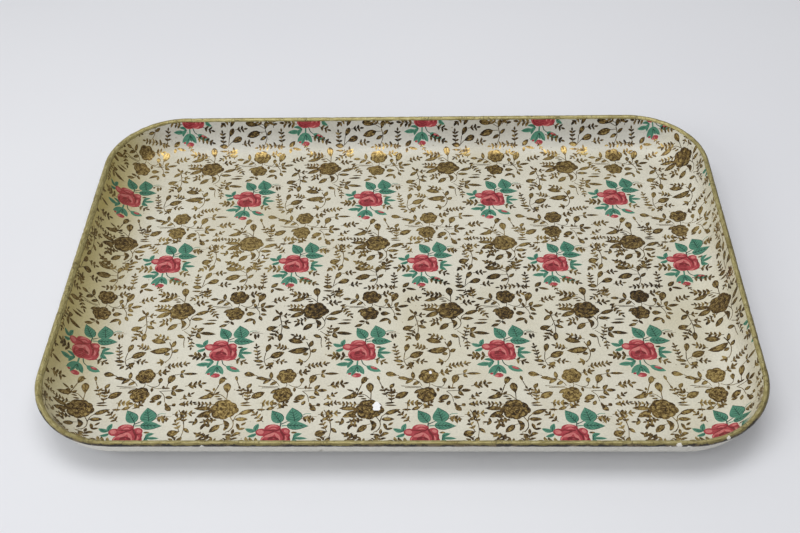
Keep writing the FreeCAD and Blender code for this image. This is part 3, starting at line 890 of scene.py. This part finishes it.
def finish_paper():
    """The bare ground of the print, yellowed on the left, and greyed up the back wall by painted shade."""
    finish = Finish("printed_paper_ground")
    yellow, relief = paper_wear(finish)
    clouds = finish.noise(28, 5, 0.65)
    finish.colour = finish.ramp(clouds, (0.3, 221, 218, 202), (0.55, 214, 210, 193), (0.75, 205, 199, 177))
    finish.stain(finish.times(yellow, 0.85), 178, 164, 100)
    # painted shade: the paper turns greyer up the back wall
    finish.stain(finish.ease(finish.part("Y"), 0.114, 0.126, 0.0, 0.4), 176, 178, 182)
    finish.grain(900, 236, 236, 236)
    specks = finish.times(finish.ease(finish.cells(210), 0.13, 0.07), finish.patches(0.5, 0.62, 1.0, 60, 2))
    # darker in patches, more so towards the top of the wall
    wall_darkening_patches = finish.times(finish.patches(0.56, 0.78, 1.0, 70, 5, 0.7, 0.6), up_wall(finish))
    finish.stain(finish.times(specks, 0.7), 128, 110, 82)
    finish.stain(finish.times(wall_darkening_patches, 0.55), 104, 90, 62)
    return finish.done(
        Roughness=finish.ease(clouds, 0.2, 0.8, 0.36, 0.52), Specular_IOR_Level=0.35,
        Coat_Weight=0.2, Coat_Roughness=0.24, Coat_Normal=relief, Normal=relief)


def finish_bronze(name, lit):
    """Bronze ink, a mottle of black-brown and dull gold. lit is how far it leans to gold. It is painted
    darker in a band across the floor and on the back wall: painted dark reflections in the shiny ink."""
    finish = Finish(name)
    yellow, relief = paper_wear(finish)
    mottle = finish.noise(620, 5, 0.74, 0.5)
    regions = finish.ease(finish.noise(17, 3, 0.6, 0.6), 0.36, 0.64, -0.05, 0.06)
    regions = finish.plus(regions, finish.ease(finish.part("Y"), -0.09, 0.09, 0.01, 0.045))
    # painted dark reflections: the ink is darkened in a band across the floor, on its left, and up the back
    # wall
    from_band = finish.math("ABSOLUTE", finish.plus(finish.part("Y"), 0.022))
    in_band = finish.times(finish.ease(from_band, 0.048, 0.022), finish.ease(finish.part("X"), -0.1, -0.03))
    painted_dark_reflection = finish.math("MAXIMUM", in_band, finish.ease(finish.part("Y"), 0.1195, 0.1245, 0.0, 1.3))
    regions = finish.math("SUBTRACT", regions, finish.times(painted_dark_reflection, 0.085))
    gold = finish.plus(finish.plus(mottle, lit), regions)
    finish.colour = finish.ramp(gold, (0.36, 42, 34, 21), (0.46, 86, 67, 41), (0.56, 135, 112, 66),
                                (0.7, 190, 166, 106))
    finish.stain(finish.patches(0.68, 0.74, 0.6, 330, 3, 0.7), 196, 186, 154)
    finish.stain(finish.times(yellow, 0.45), 72, 54, 26)
    return finish.done(
        Metallic=finish.ease(gold, 0.38, 0.56, 0.5, 0.94), Roughness=finish.ease(mottle, 0.3, 0.7, 0.28, 0.4),
        Specular_IOR_Level=0.2, Coat_Weight=0.12, Coat_Roughness=0.26, Coat_Normal=relief, Normal=relief)


def finish_umber():
    return finish_bronze("umber_ink", -0.02)


def finish_gold():
    return finish_bronze("gold_ink", 0.1)


def flat_ink(finish, rub_scale, rubbed, aged):
    """Wear and gloss for an ink, with its colours where it is rubbed thin and where it has aged."""
    yellow, relief = paper_wear(finish)
    finish.stain(finish.patches(0.62, 0.72, 0.3, rub_scale, 3, 0.7), *rubbed)
    finish.stain(finish.times(yellow, 0.35), *aged)
    return finish.done(
        Roughness=finish.ease(finish.noise(200, 2), 0.3, 0.7, 0.4, 0.52), Specular_IOR_Level=0.25,
        Coat_Weight=0.14, Coat_Roughness=0.26, Coat_Normal=relief, Normal=relief)


def finish_red():
    finish = Finish("rose_red_ink")
    tone = finish.attribute("tone")
    tone = finish.plus(tone, finish.ease(finish.noise(420, 3, 0.6), 0.3, 0.7, -0.14, 0.14))
    finish.colour = finish.ramp(tone, (0.0, 112, 26, 33), (0.28, 138, 40, 48), (0.5, 162, 56, 64),
                                (0.8, 184, 88, 90), (1.0, 200, 118, 114))
    return flat_ink(finish, 800, (214, 190, 172), (128, 62, 40))


def finish_green():
    finish = Finish("leaf_green_ink")
    tone = finish.ease(finish.attribute("tone"), 0.05, 0.5)
    tone = finish.plus(tone, finish.ease(finish.noise(380, 3), 0.3, 0.7, -0.2, 0.2))
    finish.colour = finish.ramp(tone, (0.0, 22, 60, 49), (0.45, 40, 92, 75), (0.8, 56, 114, 93),
                                (1.0, 74, 130, 107))
    return flat_ink(finish, 760, (170, 186, 160), (60, 84, 46))


def finish_gilding():
    """Brushed gold on gesso: streaks along the rim, fine cracks across it, bare chips, a black lower outer
    edge that is partly wear and partly painted shadow, and painted shade on its outer face on the right and
    front.
    """
    finish = Finish("rim_gold")
    band = finish.attribute("band", "Vector")
    across = finish.part("Z", band)
    streaks = finish.noise(260, 4, 0.6, 0.0, finish.stretched(band, (1.0, 1.0, 9.0)))
    blotches = finish.noise(70, 4, 0.65, 0.0, finish.stretched(band, (1.0, 1.0, 1.6)))
    finish.colour = finish.ramp(streaks, (0.28, 112, 100, 52), (0.5, 168, 157, 104), (0.72, 204, 196, 148))
    finish.stain(finish.ease(blotches, 0.5, 0.72, 0.0, 0.65), 120, 106, 56)
    cracks = finish.cells(420, "DISTANCE_TO_EDGE", finish.stretched(band, (1.0, 1.0, 0.22)))
    crack = finish.ease(cracks, 0.045, 0.0)
    crack = finish.times(crack, finish.patches(0.48, 0.6, 1.0, 120, 2, 0.5, 0.0, band))
    finish.stain(finish.times(crack, 0.7), 62, 52, 34)
    finish.stain(finish.patches(0.6, 0.7, 0.6, 150, 4, 0.7, 0.5, band), 74, 62, 38)
    to_front = finish.ease(finish.part("Y"), -0.1, -0.13)
    to_right = finish.ease(finish.part("X"), 0.15, 0.188)
    to_left = finish.ease(finish.part("X"), -0.15, -0.188)
    # painted shade: the outer face of the bead is darkened on the right and front, the sides turned away from
    # the light
    shaded_sides = finish.math("MAXIMUM", to_right, finish.times(to_front, 0.7))
    painted_side_shade = finish.times(finish.ease(across, 0.0013, 0.0032), shaded_sides)
    finish.stain(finish.times(painted_side_shade, 0.75), 88, 76, 40)
    # a black line along the bead's lower outer edge, wider on the front and sides: partly worn gold, partly
    # painted shadow under the bead
    low = finish.plus(across, finish.times(finish.noise(95, 5, 0.72, 0.0, band), 0.0048))
    for side, reach in ((to_front, 0.0014), (to_right, 0.0012), (to_left, 0.0008)):
        low = finish.plus(low, finish.times(side, reach))
    wear_and_shadow_line = finish.ease(low, 0.0071, 0.0075)
    wear_and_shadow_colour = finish.ramp(finish.noise(140, 4, 0.7, 0.0, band), (0.4, 24, 21, 17), (0.52, 48, 40, 28),
                       (0.64, 112, 98, 72))
    finish.colour = finish.mix(wear_and_shadow_line, finish.colour, wear_and_shadow_colour)
    hem = finish.ease(across, -0.0005, -0.001)
    hem = finish.times(hem, finish.patches(0.34, 0.5, 1.0, 240, 3, 0.7, 0.0, band))
    finish.stain(finish.times(hem, 0.85), 46, 38, 22)
    ragged = finish.ease(finish.noise(700, 3, 0.6, 0.0, band), 0.3, 0.7, -0.25, 0.25)
    chipped = finish.ease(finish.plus(finish.attribute("chip"), ragged), 0.4, 0.55)
    finish.stain(chipped, 222, 219, 208)
    relief = finish.bump(streaks, 0.00022, 0.6, finish.bump(blotches, 0.0005, 0.5))
    relief = finish.bump(crack, -0.0001, 0.6, relief)
    gilt = finish.math("SUBTRACT", 1.0, finish.math("MAXIMUM", wear_and_shadow_line, chipped))
    roughness = finish.ease(streaks, 0.3, 0.7, 0.36, 0.52)
    return finish.done(Metallic=finish.times(gilt, 0.55), Roughness=roughness, Normal=relief)


def finish_plain_paper(name, tint, dirt):
    """White painted paper, rubbed and soiled."""
    finish = Finish(name)
    clouds = finish.noise(22, 5, 0.65)
    finish.colour = finish.ramp(clouds, (0.3, *tint), (0.75, *tint, 0.86))
    finish.grain(700, 232, 231, 228)
    finish.stain(finish.times(finish.patches(0.6, 0.7, 1.0, 140, 5, 0.75, 0.6), dirt), 112, 98, 76)
    stretched = finish.stretched(finish.place, (1.0, 0.3, 2.5))
    finish.stain(finish.patches(0.6, 0.75, 0.35, 90, 4, 0.7, 0.0, stretched), 150, 142, 124)
    crumple = finish.bump(finish.noise(60, 3, 0.6, 0.3), 0.0008, 0.35)
    relief = finish.bump(finish.noise(1200, 3, 0.6), 0.00005, 0.6, crumple)
    roughness = finish.ease(clouds, 0.2, 0.8, 0.5, 0.7)
    return finish.done(Roughness=roughness, Specular_IOR_Level=0.4, Normal=relief)


def finish_chalk():
    """The white ground under the print, where it has chipped."""
    finish = Finish("chipped_ground")
    powder = finish.noise(900, 4, 0.7)
    finish.colour = finish.ramp(powder, (0.3, 232, 232, 234), (0.6, 246, 246, 247))
    return finish.done(Roughness=finish.ease(powder, 0.3, 0.7, 0.7, 0.85), Specular_IOR_Level=0.3,
                       Normal=finish.bump(powder, 0.0001, 0.6))


def finish_pulp():
    """The grey-brown board that the moulded body is made of."""
    finish = Finish("moulded_pulp")
    clumps = finish.noise(350, 5, 0.7)
    finish.colour = finish.ramp(clumps, (0.3, 128, 112, 88), (0.7, 168, 152, 124))
    finish.stain(finish.ease(finish.cells(600), 0.18, 0.08, 0.0, 0.6), 84, 72, 58)
    return finish.done(Roughness=finish.ease(clumps, 0.3, 0.7, 0.75, 0.92),
                       Normal=finish.bump(clumps, 0.0003, 0.6))


# ---- the printed lining ----

# Where the print has chipped off, on the flat sheet, and how far across.
PRINT_CHIPS = [((-12.2, -92.7), 2.5), ((16.0, -69.4), 0.9), ((-84.0, 21.0), 0.7), ((96.5, -36.0), 0.6)]

INKS = {
    "printed_liner_ground": ((BARE,), finish_paper),
    "printed_liner_chips": ((CHALK,), finish_chalk),
    "printed_liner_umber": ((UMBER,), finish_umber),
    "printed_liner_gold": ((GOLD,), finish_gold),
    "printed_liner_red": ((RED, PINK, DEEP), finish_red),
    "printed_liner_green": ((GREEN, VEIN), finish_green),
}

sheet = cut_sheet()
for centre, radius in PRINT_CHIPS:
    sheet = knock_out(*sheet, centre, radius)
sheet_points, sheet_triangles, sheet_inks = sheet
laid, laid_normals = lay_in_tray(sheet_points[:, 0], sheet_points[:, 1])
for name, (inks, finish_ink) in INKS.items():
    chosen = np.isin(sheet_inks, inks)
    used, renamed = np.unique(sheet_triangles[chosen], return_inverse=True)
    tones = [TONE[ink] for ink in sheet_inks[chosen]]
    piece = add_mesh(name, laid[used], renamed.reshape(-1, 3), laid_normals[used], tone=tones)
    dress(piece, finish_ink(), "printed_liner")

# ---- the gilt rim ----

PERIMETER = 4 * (FLAT_X + FLAT_Y - 2 * FLAT_CORNER) + 2 * math.pi * (FLAT_CORNER + BEAD_OUT)
RIM_RADIUS = PERIMETER / (2 * math.pi)  # of a circle as long as the rim, on which its noise is laid out


def stations(spacing):
    """Places round the tray: a point of the floor's edge, the way out there and how far round the rim."""
    right, back = FLAT_X - FLAT_CORNER, FLAT_Y - FLAT_CORNER
    ring = []
    walked = 0.0
    sides = [((right, -back), 0, 2 * back), ((right, back), 90, 2 * right), ((-right, back), 180, 2 * back),
             ((-right, -back), 270, 2 * right)]
    for (centre_x, centre_y), turn, length in sides:
        way = math.radians(turn)
        count = max(1, round(length / spacing))
        for step in range(count):
            along = length * step / count
            ring.append((centre_x + FLAT_CORNER * math.cos(way) - along * math.sin(way),
                         centre_y + FLAT_CORNER * math.sin(way) + along * math.cos(way), way, walked + along))
        walked += length
        end_x = centre_x - length * math.sin(way)
        end_y = centre_y + length * math.cos(way)
        arc = 0.5 * math.pi * (FLAT_CORNER + BEAD_OUT)
        count = max(1, round(arc / spacing))
        for step in range(count):
            turned = way + 0.5 * math.pi * step / count
            edge_x = end_x + FLAT_CORNER * math.cos(turned)
            edge_y = end_y + FLAT_CORNER * math.sin(turned)
            ring.append((edge_x, edge_y, turned, walked + arc * step / count))
        walked += arc
    return ring


def swept(ring, section):
    """Sweep a closed section round the tray. It gives points out from the floor's edge and up."""
    points, faces, bands = [], [], []
    for base_x, base_y, way, walked in ring:
        loop = section(walked, base_x, base_y, way)
        turn = 2 * math.pi * walked / PERIMETER
        for out, up, across in loop:
            points.append((base_x + out * math.cos(way), base_y + out * math.sin(way), up))
            bands.append((RIM_RADIUS * math.cos(turn) * MM, RIM_RADIUS * math.sin(turn) * MM, across * MM))
    count, size = len(ring), len(loop)
    for row in range(count):
        after = (row + 1) % count
        for column in range(size):
            beside = (column + 1) % size
            here, there = row * size, after * size
            faces.append((here + column, there + column, there + beside, here + beside))
    return points, faces, bands


def unevenness(walked, reach, seed):
    """Smooth noise round the rim, about -1 to 1, that meets itself where it closes. reach is its size."""
    turn = 2 * math.pi * walked / PERIMETER
    radius = RIM_RADIUS / reach
    return noise.noise(Vector((radius * math.cos(turn), radius * math.sin(turn), seed)))


LINER_END = 162.0  # degrees round the bead, in its section, where the lining's edge meets it
OUTER_FACE = 2 * PAPER + SHELL - BEAD_RADIUS  # how far the wall's outer face passes from the bead's centre
UNDER_BEAD = math.sqrt(BEAD_RADIUS**2 - OUTER_FACE**2)
PAPER_END = math.degrees(math.atan2(-OUTER_FACE * math.cos(WALL_SLOPE) - UNDER_BEAD * math.sin(WALL_SLOPE),
                                    OUTER_FACE * math.sin(WALL_SLOPE) - UNDER_BEAD * math.cos(WALL_SLOPE)))
BEAD_STEPS, INNER_STEPS = 22, 8
# Where the gilding has chipped off the rim, and how far across.
CHIPS = [
    ((160.9, -128.4, 22.1), 1.3),
    ((136.3, -132.7, 21.3), 2.0),
    ((132.2, -132.6, 20.4), 1.4),
    ((141.2, -132.5, 20.3), 1.5),
    ((127.0, -132.4, 19.9), 1.0),
    ((151.0, -131.2, 20.6), 1.0),
    ((-101.7, -132.4, 20.2), 1.2),
    ((-96.0, -132.2, 20.6), 1.2),
]


def rim_section(walked, base_x, base_y, way):
    """The gold over the bead: a ragged lap on the print, the bead, its lower edge, then its inner face."""
    to_right, to_back = math.cos(way), math.sin(way)
    lap = (1.5 if to_right < 0 else 0.35) * to_right**2 + (0.5 if to_back > 0 else 0.9) * to_back**2
    lap += (0.25 + 0.35 * max(0.0, -to_right)) * unevenness(walked, 9.0, 3.0)
    lap += (0.2 + 0.3 * max(0.0, -to_right)) * unevenness(walked, 1.8, 5.0)
    lap = max(0.15, lap)
    loop = []
    wall_x, wall_z = math.cos(WALL_SLOPE), math.sin(WALL_SLOPE)
    for back, raised in ((1.0, 0.01), (0.9, 0.05), (0.6, 0.07), (0.25, 0.08)):
        out = WALL_TOP_OUT - back * lap * wall_x - raised * wall_z
        up = WALL_TOP_UP - back * lap * wall_z + raised * wall_x
        loop.append((out, up, -back))
    for step in range(BEAD_STEPS + 1):
        angle = LINER_END + (PAPER_END - LINER_END) * step / BEAD_STEPS
        turn = math.radians(angle)
        across = BEAD_RADIUS * math.radians(LINER_END - angle)
        lumps = 0.05 * unevenness(walked, 5.0, 0.1 * across)
        lumps += 0.03 * unevenness(walked, 1.3, 9.0 + 0.3 * across)
        dents = 0.34 * max(0.0, unevenness(walked, 3.2, 20.0 + 0.12 * across) - 0.12)
        radius = BEAD_RADIUS - 0.04 + lumps - dents + 0.1 * max(0.0, 1 - across / 1.2)
        radius = min(radius, BEAD_RADIUS - 0.006) if 1.0 < across else radius
        loop.append((BEAD_OUT + radius * math.cos(turn), BEAD_UP + radius * math.sin(turn), across))
    for step in range(INNER_STEPS + 1):
        turn = math.radians(PAPER_END + (LINER_END - PAPER_END) * step / INNER_STEPS)
        radius = BEAD_RADIUS - GILDING
        loop.append((BEAD_OUT + radius * math.cos(turn), BEAD_UP + radius * math.sin(turn), 8.0))
    return loop


rim_points, rim_faces, rim_bands = swept(stations(1.0), rim_section)
rim_chips = np.zeros(len(rim_points))
rim_array = np.array(rim_points)
for centre, size in CHIPS:
    gap = np.linalg.norm(rim_array - centre, axis=1)
    rim_chips = np.maximum(rim_chips, np.clip(1.2 - gap / size, 0, 1))
rim = add_mesh("gilt_rim", rim_points, rim_faces, band=rim_bands, chip=rim_chips)
dress(rim, finish_gilding(), "rim_gilding")

# ---- the plain pieces ----

for node, material in (
    ("outer_wall_paper", finish_plain_paper("outer_paper", (226, 224, 216), 0.5)),
    ("base_paper", finish_plain_paper("underside_paper", (206, 201, 186), 0.8)),
    ("moulded_body", finish_pulp()),
):
    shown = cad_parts[node].data.materials
    shown.clear()
    shown.append(material)

# ---- floor, light and camera ----

scene = bpy.context.scene
floor_mesh = bpy.data.meshes.new("studio_floor")
floor_mesh.from_pydata([(-4, -3, 0), (4, -3, 0), (4, 5, 0), (-4, 5, 0)], [], [(0, 1, 2, 3)])
floor = bpy.data.objects.new("studio_floor", floor_mesh)
scene.collection.objects.link(floor)
floor_finish = Finish("studio_floor")
floor_finish.colour = floor_finish.ramp(floor_finish.noise(3, 2), (0.3, 224, 225, 229), (0.7, 228, 229, 232))
floor_mesh.materials.append(floor_finish.done(Roughness=0.9, Specular_IOR_Level=0.2))


def add_light(name, place, target, size, power, colour=(1.0, 1.0, 1.0)):
    light = bpy.data.lights.new(name, "AREA")
    light.shape = "RECTANGLE"
    light.size, light.size_y = size
    light.energy = power
    light.color = colour
    item = bpy.data.objects.new(name, light)
    item.location = place
    item.rotation_euler = (Vector(target) - Vector(place)).to_track_quat("-Z", "Y").to_euler()
    scene.collection.objects.link(item)


add_light("overhead_softbox", (-0.07, -0.02, 0.85), (-0.07, 0.0, 0.0), (0.75, 0.42), 3.4)
add_light("left_window", (-0.95, -0.6, 0.75), (0.0, 0.0, 0.0), (0.8, 0.6), 3.4, (0.96, 0.98, 1.0))

ROOM_COLOUR = (0.985, 0.985, 1.0, 1.0)
BRIGHT_SIDE = (-0.9, -0.1, 0.3)  # the room is brighter on the left of the tray than on its right
DIM_ROOM, BRIGHT_ROOM = 0.34, 0.66

world = bpy.data.worlds.new("studio")
world.use_nodes = True
nodes, links = world.node_tree.nodes, world.node_tree.links
way = nodes.new("ShaderNodeTexCoord")
toward_bright = nodes.new("ShaderNodeVectorMath")
toward_bright.operation = "DOT_PRODUCT"
toward_bright.inputs[1].default_value = BRIGHT_SIDE
room = nodes.new("ShaderNodeMapRange")
room.inputs["From Min"].default_value = -1.0
room.inputs["To Min"].default_value = DIM_ROOM
room.inputs["To Max"].default_value = BRIGHT_ROOM
background = nodes["Background"]
background.inputs["Color"].default_value = ROOM_COLOUR
links.new(way.outputs["Generated"], toward_bright.inputs[0])
links.new(toward_bright.outputs["Value"], room.inputs["Value"])
links.new(room.outputs["Result"], background.inputs["Strength"])
scene.world = world
scene.view_settings.view_transform = "Standard"

CAMERA_TARGET = Vector((-1.79, 12.4, FLOOR)) * MM
CAMERA_DISTANCE = 0.6717
CAMERA_LENS = 51.23  # for a sensor 36 mm wide
PITCH, YAW, ROLL = math.radians(44.16), math.radians(2.32), math.radians(-1.87)

camera_data = bpy.data.cameras.new("camera")
camera_data.sensor_width = 36.0
camera_data.lens = CAMERA_LENS
camera_data.clip_start = 0.01
camera_data.clip_end = 50.0
camera = bpy.data.objects.new("camera", camera_data)
backward = Vector((math.sin(YAW) * math.cos(PITCH), -math.cos(YAW) * math.cos(PITCH), math.sin(PITCH)))
level_right = (-backward).cross(Vector((0, 0, 1))).normalized()
level_up = level_right.cross(-backward)
right = level_right * math.cos(ROLL) + level_up * math.sin(ROLL)
upward = level_up * math.cos(ROLL) - level_right * math.sin(ROLL)
turned = Matrix((right, upward, backward)).transposed().to_4x4()
camera.matrix_world = Matrix.Translation(CAMERA_TARGET + backward * CAMERA_DISTANCE) @ turned
scene.collection.objects.link(camera)
bpy.context.scene.camera = camera
